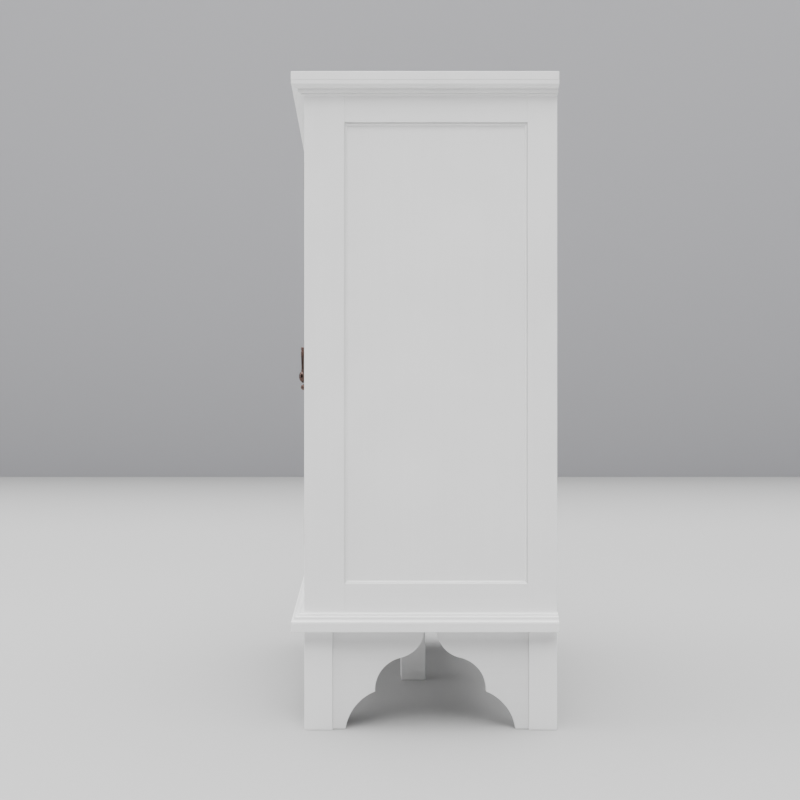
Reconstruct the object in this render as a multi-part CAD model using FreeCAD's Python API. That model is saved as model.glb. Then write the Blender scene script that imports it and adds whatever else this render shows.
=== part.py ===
"""A painted two-door armoire on square legs joined by pairs of cusped arch brackets.

The case is frame and panel: each side is a front post, a back stile, two rails and a recessed panel.
It stands on a moulded base board and is capped by a moulded cornice board. Two framed doors sit inside
the front frame on butt hinges, each with a drop pull. Inside, a partition splits the case into a bay
with three shelves and a bay with a hat shelf and a hanging rail.

Millimetres. The doors face -Y, the back is at +Y, +Z is up, and left and right are those of someone who
faces the doors, so +X is right. The origin is on the floor, at the middle of the object's whole width and
depth, pulls included.
"""
import FreeCAD
import Part
import math
import os

from FreeCAD import Vector

# ---- overall sizes
height = 1524.0  # floor to the top of the cornice board
body_width = 1160.0  # across the case's sides, without the mouldings
body_depth = 588.0  # front of the face frame to the back
overhang = 30.0  # the base board and the cornice board, past the front and both sides

# ---- stand
leg_side = 66.0  # each leg is square
leg_height = 232.5
bracket_thickness = 20.0
bracket_setback = 8.0  # behind the legs' outer faces
bracket_floor_gap = 1.0  # only the legs stand on the floor
bracket_gap = 33.0  # between the tips of a side's two brackets

# ---- boards
base_board_thickness = 22.0
top_board_thickness = 20.0
floor_thickness = 20.0
bearer_thickness = 20.0
partition_thickness = 20.0
shelf_thickness = 18.0
back_thickness = 8.0

# ---- side frames and face frame
frame_thickness = 24.0
post_front_width = 66.0  # the front post, seen from the front
post_side_width = 94.0  # the front post, seen from the side
back_stile_width = 69.0
top_rail_height = 91.5  # up to the cornice board, so part of it is behind the moulding
bottom_rail_height = 86.5  # down to the base board
rail_setback = 1.0  # of a side frame's rails, behind its post and stile
panel_recess = 10.0  # behind the post and stile
panel_thickness = 9.0
groove_depth = 10.0
back_rebate = 12.0  # how far the back panel reaches into each back stile

# ---- doors
door_thickness = 22.0
door_stile_width = 66.0
door_top_rail_height = 66.0
door_bottom_rail_height = 84.0
door_panel_recess = 8.0
door_panel_thickness = 8.0
door_hinge_gap = 2.5
door_meeting_gap = 3.0
door_top_gap = 2.5
door_bottom_gap = 3.0

# ---- fits of the joinery
joint_fit = 0.15  # on each face of a tongue in its groove
joint_end_room = 0.5  # past the end of a tongue
panel_room = 2.0  # left for a panel to swell, at the sides and the top
board_fit = 0.5  # at each end of a loose shelf

# ---- butt hinges
hinge_count = 3
hinge_end_distance = 110.0  # from the door's end to the middle of its outer hinges
hinge_height = 64.0
hinge_leaf_depth = 18.0
hinge_leaf_thickness = 1.2
hinge_barrel_radius = 2.75
hinge_pin_radius = 1.5
hinge_pin_clearance = 0.05
hinge_axis_ahead = 0.25  # the pin's axis lies this far in front of the door's face
hinge_knuckles = 5
hinge_knuckle_gap = 0.15
hinge_barrel_room = 0.25  # round the barrel, in the wood and in the other leaf
hinge_screws = 3
screw_head_radius = 3.2
screw_shank_radius = 1.5
screw_length = 14.0
screw_edge_distance = 10.0

# ---- shelves, pins and hanging rail
shelf_count = 3
shelf_front_inset = 16.0  # behind the face frame
shelf_back_room = 1.0
hat_space = 210.0  # above the hat shelf
pin_radius = 2.5
pin_depth = 8.0  # in the wood
pin_reach = 8.0  # out of it
pin_pitch = 32.0  # from a shelf's holes to the spare ones above and below
rail_radius = 12.5
rail_wall = 1.5
rail_drop = 40.0  # from the hat shelf's underside to the rail's axis
rail_end_gap = 2.0
hanger_inset = 45.0  # from a wall to the middle of a hanger
hanger_width = 14.0
hanger_ring_wall = 4.0
hanger_web = 6.0
hanger_plate_width = 34.0
hanger_plate_depth = 44.0
hanger_plate_thickness = 3.0

# ---- magnetic catches
catch_from_door_top = 60.0
catch_width = 14.0
catch_depth = 36.0
catch_height = 44.0
catch_air_gap = 0.3
strike_thickness = 1.5
strike_width = 16.0
strike_height = 30.0

# ---- drop pulls
pull_pivot_height = 908.2  # above the floor
pull_standoff = 24.4  # from the door's face to the drop's axis
pull_plate_thickness = 3.0
pull_plate_half_width = 15.0
pull_plate_waist = 9.0
pull_plate_past = 17.0  # past the post's axis, and past the knob's
pull_ball_radius = 5.0
pull_stem_radius = 3.2
pull_collar_radius = 6.5
pull_collar_length = 4.0
pull_spigot_radius = 2.0
pull_spigot_past = 5.0  # out of the door's back
pull_hole_clearance = 0.2
pull_nut_flats = 7.0
pull_nut_height = 3.2
pull_slot_width = 3.2
pull_tongue_thickness = 2.8
pull_tongue_radius = 3.4
pull_pivot_radius = 1.2
pull_pivot_clearance = 0.05
drop_ball_clearance = 0.8
drop_neck_radius = 4.4
drop_waist_radius = 3.3
drop_bead_radius = 4.3
drop_bulb_radius = 9.6
drop_length = 93.9  # pivot to tip
drop_bulb_height = 31.5
knob_drop = 105.7  # the lower knob's centre, below the pivot
knob_radius = 8.2
knob_standoff = 21.4

# ---- worked out from the sizes above
overall_depth = body_depth + max(overhang, pull_standoff + drop_bulb_radius)
y_back = overall_depth / 2
y_front = y_back - body_depth
half_body = body_width / 2
inner_face = half_body - frame_thickness  # of the side frames
frame_back = y_front + frame_thickness  # of the face frame
back_inside = y_back - back_thickness
z_case = leg_height + base_board_thickness
z_top = height - top_board_thickness
z_opening_low = z_case + bottom_rail_height
z_opening_high = z_top - top_rail_height
opening_half = half_body - post_front_width
panel_outer = half_body - panel_recess
panel_inner = panel_outer - panel_thickness
door_edge = opening_half - door_hinge_gap
door_low = z_opening_low + door_bottom_gap
door_high = z_opening_high - door_top_gap
door_back = y_front + door_thickness
hinge_x = opening_half - door_hinge_gap / 2
hinge_y = y_front - hinge_axis_ahead
bay_wall = partition_thickness / 2
pull_x = door_meeting_gap / 2 + door_stile_width / 2
z_axis = Vector(0, 0, 1)


# ---- drawing helpers
def block(x0, x1, y0, y1, z0, z1):
    return Part.makeBox(x1 - x0, y1 - y0, z1 - z0, Vector(x0, y0, z0))


def rod(radius, start, direction, length):
    return Part.makeCylinder(radius, length, start, direction)


def mirrored(shape):
    return shape.mirror(Vector(0, 0, 0), Vector(1, 0, 0))


def outline(place, *points):
    """A closed face. Each point is (u, v) for a straight run to it, or (u, v, rise) for an arc to it whose
    middle stands rise times the chord to the left of the run. place turns (u, v) into a Vector."""
    edges = []
    u0, v0 = points[-1][:2]
    for u, v, *rise in points:
        if rise:
            middle_u = (u0 + u) / 2 - (v - v0) * rise[0]
            middle_v = (v0 + v) / 2 + (u - u0) * rise[0]
            edges.append(Part.Arc(place(u0, v0), place(middle_u, middle_v), place(u, v)).toShape())
        else:
            edges.append(Part.LineSegment(place(u0, v0), place(u, v)).toShape())
        u0, v0 = u, v
    return Part.Face(Part.Wire(edges))


def prism_up(low, high, *plan_points):
    face = outline(lambda x, y: Vector(x, y, low), *plan_points)
    return face.extrude(Vector(0, 0, high - low))


def turned(centre, axis, points):
    """A turned solid about the line through centre along axis. Each point is (radius, along) or, for an
    arc, (radius, along, rise)."""
    side = Vector(1, 0, 0)
    face = outline(lambda radius, along: centre + side * radius + axis * along, *points)
    return face.revolve(centre, axis, 360)


def group(shapes):
    return Part.makeCompound(shapes)


# ---- the stand: square legs and cusped arch brackets under the base board
def leg(x, y):
    """A leg centred on x, y."""
    half = leg_side / 2
    return block(x - half, x + half, y - half, y + half, 0, leg_height)


def bracket(corner, along, inward):
    """Half of a cusped arch, cut from a board: from the foot, two hollow foils meet at a cusp, and the upper
    one turns back into a round nose. It starts at the leg and runs along its direction. The turning points of
    its outline are shares of the bracket's length and height, and each arc's rise is a share of its chord."""
    length = (body_depth - 2 * leg_side - bracket_gap) / 2
    rise = leg_height - bracket_floor_gap
    base = corner + Vector(0, 0, bracket_floor_gap)
    face = outline(
        lambda u, v: base + along * u + z_axis * v,
        (0.142 * length, 0), (0.467 * length, 0.376 * rise, 0.134), (0.745 * length, 0.7135 * rise, 0.18),
        (length, 0.927 * rise, -0.14), (length, rise), (0, rise), (0, 0),
    )
    return face.extrude(inward * bracket_thickness)


def stand(parts):
    leg_x = half_body - leg_side / 2
    leg_front = y_front + leg_side / 2
    leg_back = y_back - leg_side / 2
    for side, sign in (("left", -1), ("right", 1)):
        parts["leg_front_" + side] = leg(sign * leg_x, leg_front)
        parts["leg_back_" + side] = leg(sign * leg_x, leg_back)
    # The fifth leg stands under the middle of the base board.
    parts["leg_centre"] = leg(0, (y_front - overhang + y_back) / 2)

    outer = half_body - bracket_setback
    forward, sideways = Vector(0, 1, 0), Vector(-1, 0, 0)
    cut = {
        "side_front": bracket(Vector(outer, y_front + leg_side, 0), forward, sideways),
        "side_back": bracket(Vector(outer, y_back - leg_side, 0), -forward, sideways),
        "front": bracket(Vector(half_body - leg_side, y_front + bracket_setback, 0), sideways, forward),
    }
    for place, shape in cut.items():
        parts["bracket_" + place + "_right"] = shape
        parts["bracket_" + place + "_left"] = mirrored(shape)
    parts["base_board"] = block(
        -half_body - overhang, half_body + overhang, y_front - overhang, y_back, leg_height, z_case
    )


# ---- mouldings: one section run along the front and both sides, mitred at the two front corners
def base_section(place):
    """Stands on the base board against the case: an ogee, a step, and a bead that dips to the case behind."""
    return outline(
        place, (0, 0), (29.5, 0), (29.5, 1.2), (22, 9.3, 0.2), (17.5, 14, -0.2), (14.5, 14), (14.5, 17),
        (8, 22, 0.2), (3, 21, 0.12), (2, 20), (0, 20),
    )


def cornice_section(place):
    """Hangs under the cornice board: a deep fascia, an ogee, a flat band and a small fillet."""
    return outline(
        place, (0, 0), (29.5, 0), (29.5, -7.5), (24.5, -13, 0.16), (18.5, -17, -0.13), (14, -17),
        (14, -25.5), (8, -25.5), (8, -29.5), (0, -29.5),
    )


def moulding_run(section, z):
    """The front length and the right-hand return. Past the boards' edge nothing of the section is left."""
    front_face = section(lambda out, up: Vector(-half_body - overhang, y_front - out, z + up))
    front = front_face.extrude(Vector(body_width + 2 * overhang, 0, 0))
    side_face = section(lambda out, up: Vector(half_body + out, y_front - overhang, z + up))
    side = side_face.extrude(Vector(0, body_depth + overhang, 0))
    low, high = z - height, z + height
    corner, tip, tip_y = half_body, half_body + overhang, y_front - overhang
    front_plan = [(-corner, y_front), (-tip, tip_y), (tip, tip_y), (corner, y_front)]
    side_plan = [(corner, y_front), (tip, tip_y), (tip, y_back), (corner, y_back)]
    return front.common(prism_up(low, high, *front_plan)), side.common(prism_up(low, high, *side_plan))


def mouldings(parts):
    kinds = {"base_moulding": (base_section, z_case), "cornice_moulding": (cornice_section, z_top)}
    for name, (section, z) in kinds.items():
        front, right = moulding_run(section, z)
        parts[name + "_front"] = front
        parts[name + "_right"] = right
        parts[name + "_left"] = mirrored(right)
    parts["cornice_board"] = block(
        -half_body - overhang, half_body + overhang, y_front - overhang, y_back, z_top, height
    )


# ---- the case
def shelf_levels():
    """Heights of the three shelves' top faces, evenly spaced in their bay."""
    pitch = (z_top - z_opening_low) / (shelf_count + 1)
    return [z_opening_low + pitch * (i + 1) for i in range(shelf_count)]


def hat_shelf_level():
    return z_top - hat_space


def pin_places():
    """Where the shelf pins stand in Y: in the middle of the post's inner face and of the back stile."""
    return [(frame_back + y_front + post_side_width) / 2, y_back - back_stile_width / 2]


def pin_holes(levels, wall, direction, offsets=(-pin_pitch, 0, pin_pitch)):
    """Holes for a row of pins in the wall at X = wall. direction is -1 or 1 and points into the wood."""
    holes = []
    for level in levels:
        for offset in offsets:
            z = level - shelf_thickness - pin_radius + offset
            for y in pin_places():
                holes.append(rod(pin_radius, Vector(wall, y, z), Vector(direction, 0, 0), pin_depth))
    return holes


def front_post():
    """An L-shaped post. Its front face is one side of the door opening, its side face frames the panel."""
    side_leg = block(inner_face, half_body, y_front, y_front + post_side_width, z_case, z_top)
    front_leg = block(half_body - post_front_width, inner_face, y_front, frame_back, z_case, z_top)
    groove_end = y_front + post_side_width
    groove = block(panel_inner, panel_outer, groove_end - groove_depth, groove_end, z_case, z_top)
    return side_leg.fuse(front_leg).removeSplitter().cut(groove)


def back_stile():
    front_edge = y_back - back_stile_width
    stile = block(inner_face, half_body, front_edge, y_back, z_case, z_top)
    groove = block(panel_inner, panel_outer, front_edge, front_edge + groove_depth, z_case, z_top)
    rebate = block(inner_face, inner_face + back_rebate, back_inside, y_back, z_case, z_top)
    return stile.cut(groove).cut(rebate)


def side_rail(low, high, groove_low, groove_high):
    """A rail between the post and the stile, with a stub tongue at each end and a groove for the panel."""
    y0, y1 = y_front + post_side_width, y_back - back_stile_width
    tongue = groove_depth - joint_end_room
    rail = block(inner_face, half_body - rail_setback, y0, y1, low, high)
    tongues = block(panel_inner + joint_fit, panel_outer - joint_fit, y0 - tongue, y1 + tongue, low, high)
    groove = block(panel_inner, panel_outer, y0 - groove_depth, y1 + groove_depth, groove_low, groove_high)
    return rail.fuse(tongues).cut(groove)


def side_panel():
    room = groove_depth - panel_room
    y0, y1 = y_front + post_side_width - room, y_back - back_stile_width + room
    low, high = z_opening_low - groove_depth, z_opening_high + room
    return block(panel_inner + joint_fit, panel_outer - joint_fit, y0, y1, low, high)


def case(parts):
    post, stile = front_post(), back_stile()
    for axis_z in hinge_heights():
        post = post.cut(leaf_recess(opening_half, 1, axis_z))
        for screw in leaf_screws(opening_half, 1, axis_z):
            post = post.cut(screw)
    left_holes = pin_holes(shelf_levels(), -inner_face, -1)
    right_holes = pin_holes([hat_shelf_level()], inner_face, 1)
    parts["post_front_right"] = post.cut(group(right_holes))
    parts["post_front_left"] = mirrored(post).cut(group(left_holes))
    parts["stile_back_right"] = stile.cut(group(right_holes))
    parts["stile_back_left"] = mirrored(stile).cut(group(left_holes))

    rails = {
        "side_top_rail": side_rail(z_opening_high, z_top, z_opening_high, z_opening_high + groove_depth),
        "side_bottom_rail": side_rail(z_case, z_opening_low, z_opening_low - groove_depth, z_opening_low),
        "side_panel": side_panel(),
    }
    for name, shape in rails.items():
        parts[name + "_right"] = shape
        parts[name + "_left"] = mirrored(shape)

    parts["face_top_rail"] = block(-opening_half, opening_half, y_front, frame_back, z_opening_high, z_top)
    parts["face_bottom_rail"] = block(-opening_half, opening_half, y_front, frame_back, z_case, z_opening_low)

    floor_under = z_opening_low - floor_thickness
    bearer = bearer_thickness / 2
    middles = (bearer - inner_face, 0, inner_face - bearer)
    parts["floor_bearers"] = group(
        [block(x - bearer, x + bearer, frame_back, back_inside, z_case, floor_under) for x in middles]
    )
    parts["floor_board"] = block(-inner_face, inner_face, frame_back, back_inside, floor_under, z_opening_low)

    partition = block(-bay_wall, bay_wall, frame_back, back_inside, z_opening_low, z_top)
    pin_rows = pin_holes(shelf_levels(), -bay_wall, 1) + pin_holes([hat_shelf_level()], bay_wall, -1)
    parts["partition"] = partition.cut(group(pin_rows))

    back_half = inner_face + back_rebate - board_fit
    parts["back_panel"] = block(-back_half, back_half, back_inside, y_back, z_case, z_top)


# ---- fittings inside the case
def shelf(side, level):
    """A shelf in the bay on that side: -1 or 1."""
    x0, x1 = bay_wall + board_fit, inner_face - board_fit
    y0, y1 = frame_back + shelf_front_inset, back_inside - shelf_back_room
    board = block(x0, x1, y0, y1, level - shelf_thickness, level)
    return board if side > 0 else mirrored(board)


def shelf_pins(side, level):
    pins = []
    z = level - shelf_thickness - pin_radius
    length = pin_depth + pin_reach
    for y in pin_places():
        pins.append(rod(pin_radius, Vector(inner_face - pin_reach, y, z), Vector(1, 0, 0), length))
        pins.append(rod(pin_radius, Vector(bay_wall - pin_depth, y, z), Vector(1, 0, 0), length))
    return pins if side > 0 else [mirrored(pin) for pin in pins]


def hanging_rail():
    """A round tube in the right-hand bay, held by two ring hangers under the hat shelf."""
    under = hat_shelf_level() - shelf_thickness
    z = under - rail_drop
    y = (frame_back + back_inside) / 2
    x0, x1 = bay_wall + rail_end_gap, inner_face - rail_end_gap
    sideways = Vector(1, 0, 0)
    tube = rod(rail_radius, Vector(x0, y, z), sideways, x1 - x0)
    bore = rod(rail_radius - rail_wall, Vector(x0, y, z), sideways, x1 - x0)
    solids = [tube.cut(bore)]
    for middle in (bay_wall + hanger_inset, inner_face - hanger_inset):
        start = Vector(middle - hanger_width / 2, y, z)
        ring = rod(rail_radius + hanger_ring_wall, start, sideways, hanger_width)
        web = Part.makeBox(hanger_width, hanger_web, under - z, start - Vector(0, hanger_web / 2, 0))
        plate = block(
            middle - hanger_plate_width / 2, middle + hanger_plate_width / 2,
            y - hanger_plate_depth / 2, y + hanger_plate_depth / 2, under - hanger_plate_thickness, under,
        )
        eye = rod(rail_radius, start, sideways, hanger_width)
        solids.append(ring.fuse(web).fuse(plate).removeSplitter().cut(eye))
    return group(solids)


def catch_level():
    return door_high - catch_from_door_top


def catches(parts):
    """A magnet on each face of the partition, and the steel strike that meets it on each door's back."""
    y0 = door_back + strike_thickness + catch_air_gap
    low, high = catch_level() - catch_height / 2, catch_level() + catch_height / 2
    magnet = block(bay_wall, bay_wall + catch_width, y0, y0 + catch_depth, low, high)
    upright = [edge for edge in magnet.Edges if abs(edge.tangentAt(edge.FirstParameter).z) > 0.9]
    inner = [edge for edge in upright if edge.CenterOfMass.x > bay_wall + catch_width / 2]
    magnet = magnet.makeFillet(3, inner)
    parts["catch_magnets"] = group([magnet, mirrored(magnet)])
    strike_low = catch_level() - strike_height / 2
    strike = block(
        bay_wall, bay_wall + strike_width, door_back, door_back + strike_thickness, strike_low,
        strike_low + strike_height,
    )
    parts["catch_strike_right"] = strike
    parts["catch_strike_left"] = mirrored(strike)


def interior(parts):
    levels = shelf_levels()
    parts["shelves"] = group([shelf(-1, level) for level in levels] + [shelf(1, hat_shelf_level())])
    pins = []
    for level in levels:
        pins += shelf_pins(-1, level)
    parts["shelf_pins"] = group(pins + shelf_pins(1, hat_shelf_level()))
    parts["hanging_rail"] = hanging_rail()
    catches(parts)


# ---- butt hinges, drawn for the right-hand door
def hinge_heights():
    """The middle of each hinge, from the lowest up."""
    first, last = door_low + hinge_end_distance, door_high - hinge_end_distance
    return [first + (last - first) * i / (hinge_count - 1) for i in range(hinge_count)]


def barrel(radius, low, high):
    return rod(radius, Vector(hinge_x, hinge_y, low), z_axis, high - low)


def leaf_plate(wood_face, into, axis_z):
    """The flat of a leaf, let into the wood whose edge is at X = wood_face. into is 1 or -1."""
    x0, x1 = sorted((wood_face, wood_face + into * hinge_leaf_thickness))
    low = axis_z - hinge_height / 2
    return block(x0, x1, hinge_y, y_front + hinge_leaf_depth, low, low + hinge_height)


def leaf_recess(wood_face, into, axis_z):
    """What is cut from the wood: the leaf's own shape and room for the barrel."""
    low, high = axis_z - hinge_height / 2, axis_z + hinge_height / 2
    room = barrel(hinge_barrel_radius + hinge_barrel_room, low, high)
    return leaf_plate(wood_face, into, axis_z).fuse(room)


def leaf_screws(wood_face, into, axis_z):
    """Countersunk screws, their heads flush with the leaf."""
    screws = []
    gap = hinge_height / hinge_screws
    y = y_front + screw_edge_distance
    for i in range(hinge_screws):
        z = axis_z - hinge_height / 2 + gap * (i + 0.5)
        face = outline(
            lambda radius, along: Vector(wood_face + into * along, y + radius, z),
            (0, 0), (screw_head_radius, 0), (screw_shank_radius, screw_head_radius - screw_shank_radius),
            (screw_shank_radius, screw_length), (0, screw_length + screw_shank_radius),
        )
        screws.append(face.revolve(Vector(wood_face, y, z), Vector(into, 0, 0), 360))
    return screws


def hinge_leaf(wood_face, into, axis_z, first_knuckle, hole_radius):
    """One leaf with every other knuckle, starting with first_knuckle."""
    leaf = leaf_plate(wood_face, into, axis_z)
    pitch = hinge_height / hinge_knuckles
    low = axis_z - hinge_height / 2
    for i in range(hinge_knuckles):
        start, end = low + pitch * i, low + pitch * (i + 1)
        if i % 2 == first_knuckle:
            gap_low = hinge_knuckle_gap if i else 0
            gap_high = hinge_knuckle_gap if i < hinge_knuckles - 1 else 0
            leaf = leaf.fuse(barrel(hinge_barrel_radius, start + gap_low, end - gap_high))
    for i in range(hinge_knuckles):
        if i % 2 != first_knuckle:
            start, end = low + pitch * i, low + pitch * (i + 1)
            leaf = leaf.cut(barrel(hinge_barrel_radius + hinge_barrel_room, start, end))
    leaf = leaf.cut(barrel(hole_radius, low, low + hinge_height))
    for screw in leaf_screws(wood_face, into, axis_z):
        leaf = leaf.cut(screw)
    return leaf


def hinges(parts):
    case_side, door_side = [], []
    for axis_z in hinge_heights():
        case_side.append(hinge_leaf(opening_half, 1, axis_z, 0, hinge_pin_radius))
        case_side.append(barrel(hinge_pin_radius, axis_z - hinge_height / 2, axis_z + hinge_height / 2))
        case_side += leaf_screws(opening_half, 1, axis_z)
        door_side.append(hinge_leaf(door_edge, -1, axis_z, 1, hinge_pin_radius + hinge_pin_clearance))
        door_side += leaf_screws(door_edge, -1, axis_z)
    parts["hinge_leaves_case"] = group(case_side + [mirrored(solid) for solid in case_side])
    parts["hinge_leaves_door_right"] = group(door_side)
    parts["hinge_leaves_door_left"] = group([mirrored(solid) for solid in door_side])


# ---- the doors, drawn for the right-hand one
def door_stile(x0, x1, groove_x0, groove_x1):
    stile = block(x0, x1, y_front, door_back, door_low, door_high)
    groove_y = y_front + door_panel_recess
    groove = block(groove_x0, groove_x1, groove_y, groove_y + door_panel_thickness, door_low, door_high)
    return stile.cut(groove)


def door_rail(low, high, groove_low, groove_high):
    x0, x1 = door_meeting_gap / 2 + door_stile_width, door_edge - door_stile_width
    y0 = y_front + door_panel_recess
    y1 = y0 + door_panel_thickness
    tongue = groove_depth - joint_end_room
    rail = block(x0, x1, y_front, door_back, low, high)
    tongues = block(x0 - tongue, x1 + tongue, y0 + joint_fit, y1 - joint_fit, low, high)
    groove = block(x0 - groove_depth, x1 + groove_depth, y0, y1, groove_low, groove_high)
    return rail.fuse(tongues).cut(groove)


def doors(parts):
    inner0, inner1 = door_meeting_gap / 2 + door_stile_width, door_edge - door_stile_width
    meeting = door_stile(door_meeting_gap / 2, inner0, inner0 - groove_depth, inner0)
    for z in (pull_pivot_height, pull_pivot_height - knob_drop):
        hole_radius = pull_spigot_radius + pull_hole_clearance
        meeting = meeting.cut(rod(hole_radius, Vector(pull_x, y_front, z), Vector(0, 1, 0), door_thickness))
    hinge_stile = door_stile(inner1, door_edge, inner1, inner1 + groove_depth)
    for axis_z in hinge_heights():
        hinge_stile = hinge_stile.cut(leaf_recess(door_edge, -1, axis_z))
        for screw in leaf_screws(door_edge, -1, axis_z):
            hinge_stile = hinge_stile.cut(screw)

    rail_low, rail_high = door_low + door_bottom_rail_height, door_high - door_top_rail_height
    room = groove_depth - panel_room
    panel_y = y_front + door_panel_recess
    pieces = {
        "door_meeting_stile": meeting,
        "door_hinge_stile": hinge_stile,
        "door_top_rail": door_rail(rail_high, door_high, rail_high, rail_high + groove_depth),
        "door_bottom_rail": door_rail(door_low, rail_low, rail_low - groove_depth, rail_low),
        "door_panel": block(
            inner0 - room, inner1 + room, panel_y + joint_fit, panel_y + door_panel_thickness - joint_fit,
            rail_low - groove_depth, rail_high + room,
        ),
    }
    for name, shape in pieces.items():
        parts[name + "_right"] = shape
        parts[name + "_left"] = mirrored(shape)


# ---- the drop pulls, drawn for the right-hand door
def pull_plate():
    """A slim back plate, waisted at its middle and pointed at both ends, bored for the two spigots."""
    high = pull_pivot_height + pull_plate_past
    low = pull_pivot_height - knob_drop - pull_plate_past
    wide, slim, shoulder = pull_plate_half_width, pull_plate_waist, 2 * pull_plate_past
    plate = outline(
        lambda u, v: Vector(pull_x + u, y_front, v),
        (wide, low + pull_plate_past, -0.18), (slim, low + shoulder, 0.18), (slim, high - shoulder),
        (wide, high - pull_plate_past, 0.18), (0, high, -0.18), (-wide, high - pull_plate_past, -0.18),
        (-slim, high - shoulder, 0.18), (-slim, low + shoulder), (-wide, low + pull_plate_past, 0.18),
        (0, low, -0.18),
    )
    solid = plate.extrude(Vector(0, -pull_plate_thickness, 0))
    for z in (pull_pivot_height, pull_pivot_height - knob_drop):
        start = Vector(pull_x, y_front, z)
        hole = rod(pull_spigot_radius + pull_hole_clearance, start, Vector(0, -1, 0), pull_plate_thickness)
        solid = solid.cut(hole)
    return solid


def pull_spigot(z, standoff):
    """The stem of a post or knob, its collar on the plate, and the spigot through the door."""
    face = y_front - pull_plate_thickness
    outward, inward = Vector(0, -1, 0), Vector(0, 1, 0)
    stem = rod(pull_stem_radius, Vector(pull_x, face, z), outward, standoff - pull_plate_thickness)
    collar = rod(pull_collar_radius, Vector(pull_x, face, z), outward, pull_collar_length)
    length = pull_plate_thickness + door_thickness + pull_spigot_past
    return stem.fuse(collar).fuse(rod(pull_spigot_radius, Vector(pull_x, face, z), inward, length))


def pull_nut(z):
    """A hexagon nut on a spigot's end, inside the door."""
    corner = pull_nut_flats / math.sqrt(3)
    turns = [math.radians(60 * i) for i in range(6)]
    corners = [(corner * math.cos(turn), corner * math.sin(turn)) for turn in turns]
    face = outline(lambda u, v: Vector(pull_x + u, door_back, z + v), *corners)
    nut = face.extrude(Vector(0, pull_nut_height, 0))
    return nut.cut(rod(pull_spigot_radius, Vector(pull_x, door_back, z), Vector(0, 1, 0), pull_nut_height))


def pull_post():
    """The upper post. Its ball is slotted for the drop's tongue, and a pin crosses the slot."""
    pivot = Vector(pull_x, y_front - pull_standoff, pull_pivot_height)
    post = pull_spigot(pull_pivot_height, pull_standoff).fuse(Part.makeSphere(pull_ball_radius, pivot))
    half = pull_slot_width / 2
    reach = pull_tongue_radius + drop_ball_clearance
    slot = block(
        pull_x - half, pull_x + half, pivot.y - 2 * pull_ball_radius, pivot.y + reach,
        pull_pivot_height - 2 * pull_ball_radius, pull_pivot_height + reach,
    )
    start = pivot - Vector(pull_ball_radius, 0, 0)
    hole = rod(pull_pivot_radius, start, Vector(1, 0, 0), 2 * pull_ball_radius)
    return post.cut(slot).cut(hole)


def pull_pin():
    half = math.sqrt(pull_ball_radius ** 2 - pull_pivot_radius ** 2)
    start = Vector(pull_x - half, y_front - pull_standoff, pull_pivot_height)
    return rod(pull_pivot_radius, start, Vector(1, 0, 0), 2 * half)


def pull_knob():
    z = pull_pivot_height - knob_drop
    centre = Vector(pull_x, y_front - knob_standoff, z)
    return pull_spigot(z, knob_standoff).fuse(Part.makeSphere(knob_radius, centre))


def pull_drop():
    """A turned drop: a round-topped neck, a slim waist, a bead and a bulb that ends in a soft point."""
    centre = Vector(pull_x, y_front - pull_standoff, pull_pivot_height)
    top = -pull_ball_radius - drop_ball_clearance
    bulb_top = -drop_length + drop_bulb_height
    bulb_middle = -drop_length + 0.6 * drop_bulb_height
    neck, waist, bead = drop_neck_radius, drop_waist_radius, drop_bead_radius
    body = turned(centre, z_axis, [
        (0, top), (neck, top - neck, 0.2071), (neck, top - 3 * neck), (waist, bulb_top + 6, -0.006),
        (waist, bulb_top + 4), (bead, bulb_top + 3), (bead, bulb_top + 1.5), (waist, bulb_top + 0.5),
        (waist, bulb_top), (drop_bulb_radius, bulb_middle, 0.14), (1.2, 1 - drop_length, 0.17),
        (0, -drop_length),
    ])
    half = pull_tongue_thickness / 2
    tongue = rod(pull_tongue_radius, centre - Vector(half, 0, 0), Vector(1, 0, 0), 2 * half)
    shank = block(
        pull_x - half, pull_x + half, centre.y - pull_tongue_radius, centre.y + pull_tongue_radius,
        pull_pivot_height + top - drop_neck_radius, pull_pivot_height,
    )
    hole = rod(
        pull_pivot_radius + pull_pivot_clearance, centre - Vector(2 * half, 0, 0), Vector(1, 0, 0), 4 * half
    )
    return body.fuse(tongue).fuse(shank).cut(hole)


def pulls(parts):
    lower = pull_pivot_height - knob_drop
    pieces = {
        "pull_plate": [pull_plate()],
        "pull_posts": [pull_post(), pull_knob(), pull_pin(), pull_nut(pull_pivot_height), pull_nut(lower)],
        "pull_drop": [pull_drop()],
    }
    for name, solids in pieces.items():
        parts[name + "_right"] = group(solids)
        parts[name + "_left"] = group([mirrored(solid) for solid in solids])


def main():
    parts = {}
    stand(parts)
    mouldings(parts)
    case(parts)
    interior(parts)
    hinges(parts)
    doors(parts)
    pulls(parts)
    os.makedirs("parts", exist_ok=True)
    for name, shape in parts.items():
        for solid in shape.Solids:
            if not solid.isValid() or solid.Volume <= 0:
                raise ValueError(name + " holds a solid that isn't sound")
        shape.exportStep("parts/" + name + ".step")
    print(len(parts), "nodes")


main()
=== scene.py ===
import math

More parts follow.
